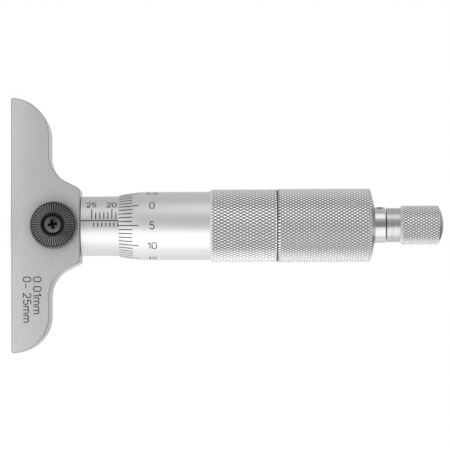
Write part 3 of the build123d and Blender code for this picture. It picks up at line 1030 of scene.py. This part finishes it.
def make_floor():
    """A narrow white floor, from just in front of the base to well behind it."""
    left, right, front, back = floor_edges
    bm = bmesh.new()
    bm.faces.new([
        bm.verts.new((x * MM, y * MM, 0))
        for x, y in ((left, front), (right, front), (right, back), (left, back))
    ])
    mesh = bpy.data.meshes.new("floor")
    bm.to_mesh(mesh)
    bm.free()
    floor = bpy.data.objects.new("floor", mesh)
    bpy.context.scene.collection.objects.link(floor)
    material, shader, finish, place = new_material(
        "floor_white", floor_white, 0, floor_roughness
    )
    far = rising(finish, part_along(finish, place, "Y"), 0, back)
    finish.feed(shader, "Emission Color", seen_directly(finish) * (1 + far * floor_far_lift))
    shader.inputs["Emission Strength"].default_value = floor_lift
    mesh.materials.append(material)


def softbox(name, angle, distance, width, height, power, middle):
    """An area lamp round the spindle axis, at an angle from -Y towards +X, in millimetres."""
    lamp = bpy.data.lights.new(name, "AREA")
    lamp.shape = "RECTANGLE"
    lamp.size = width * MM
    lamp.size_y = height * MM
    lamp.energy = power
    holder = bpy.data.objects.new(name, lamp)
    holder.visible_camera = False
    bpy.context.scene.collection.objects.link(holder)
    away = Vector((math.sin(math.radians(angle)), -math.cos(math.radians(angle)), 0))
    up = Vector((0, 0, 1))
    right = up.cross(away)
    holder.matrix_world = Matrix((
        (right.x, up.x, away.x, away.x * distance * MM),
        (right.y, up.y, away.y, away.y * distance * MM),
        (right.z, up.z, away.z, middle * MM),
        (0, 0, 0, 1),
    ))


# Brightness of the room against the angle from -Y towards +X: level with the object, a little
# above and below it, and further above and below it. One gives way to the next between the two
# slopes of a band, and the white backdrop comes in behind the object between those of the last.
tilted_band = (0.06, 0.24)
steep_band = (0.30, 0.42)
backdrop_band = (0.85, 0.98)
walls_level = (
    (-180, 0.80), (-120, 0.63), (-62, 0.64), (-45, 0.88), (-30, 0.55), (-15, 0.22), (15, 0.13),
    (45, 0.46), (75, 0.42), (92, 0.98), (112, 1.00), (125, 0.87), (180, 0.80),
)
walls_tilted = (
    (-180, 0.80), (-150, 0.58), (-90, 0.49), (-60, 0.05), (-45, 0.18), (-15, 0.62), (10, 1.00),
    (60, 0.90), (90, 1.00), (140, 1.00), (180, 0.80),
)
walls_steep = (
    (-180, 0.80), (-120, 0.72), (-75, 0.68), (-45, 1.00), (-15, 1.00), (5, 0.74), (20, 0.80),
    (40, 0.80), (65, 0.50), (90, 0.40), (135, 0.25), (180, 0.40),
)


def make_world():
    """Room of soft grey walls that light the object, white where the camera sees it."""
    world = bpy.data.worlds.new("studio")
    bpy.context.scene.world = world
    world.use_nodes = True
    finish = Finish(world.node_tree)
    background = world.node_tree.nodes["Background"]
    background.inputs["Color"].default_value = (1, 1, 1, 1)
    way = finish.node("ShaderNodeTexCoord", {}, {}, "Generated")
    side = part_along(finish, way, "X")
    depth = part_along(finish, way, "Y")
    rise = part_along(finish, way, "Z")
    slope = finish.node("ShaderNodeMath", {"operation": "ABSOLUTE"}, {0: rise})
    tilted = smooth_step(finish, slope, *tilted_band)
    steep = smooth_step(finish, slope, *steep_band)
    turn = finish.node("ShaderNodeMath", {"operation": "ARCTAN2"}, {0: side, 1: 0 - depth})
    around = turn / math.tau + 0.5
    level_light, tilted_light, steep_light = (
        finish.node("ShaderNodeValToRGB", {"stops": walls}, {"Fac": around})
        for walls in (walls_level, walls_tilted, walls_steep)
    )
    room = level_light + tilted * (tilted_light - level_light)
    room = room + steep * (steep_light - room)
    behind = smooth_step(finish, depth, *backdrop_band)
    backdrop = behind * (1 - tilted) * seen_directly(finish)
    camera_ray = finish.node("ShaderNodeLightPath", {}, {}, "Is Camera Ray")
    white = finish.node("ShaderNodeMath", {"operation": "MAXIMUM"}, {0: camera_ray, 1: backdrop})
    finish.feed(background, "Strength", white + (1 - white) * room)


def make_camera():
    """Camera on the -Y side with +Z to the right of the picture."""
    camera = bpy.data.cameras.new("camera")
    camera.sensor_width = sensor_width
    across = picture_pixels / pixels_per_mm
    camera.lens = sensor_width * camera_distance / across
    camera.clip_start = camera_near * MM
    holder = bpy.data.objects.new("camera", camera)
    bpy.context.scene.collection.objects.link(holder)
    middle = picture_pixels / 2
    x = (middle - foot_pixel[1]) / pixels_per_mm
    z = (middle - foot_pixel[0]) / pixels_per_mm
    square_on = Matrix((
        (0, -1, 0, 0),
        (0, 0, -1, -camera_distance * MM),
        (1, 0, 0, 0),
        (0, 0, 0, 1),
    ))
    turn = Matrix.Rotation(math.radians(camera_azimuth), 4, "Z")
    roll = Matrix.Rotation(math.radians(camera_roll), 4, "Z")
    holder.matrix_world = Matrix.Translation((x * MM, 0, z * MM)) @ turn @ square_on @ roll
    bpy.context.scene.camera = holder


make_floor()
softbox("key_softbox", 48, 250, 312, 437, 0.39, 55)
softbox("fill_softbox", -58, 1500, 860, 620, 1.27, 90)
make_world()
make_camera()
bpy.context.scene.view_settings.view_transform = "Standard"
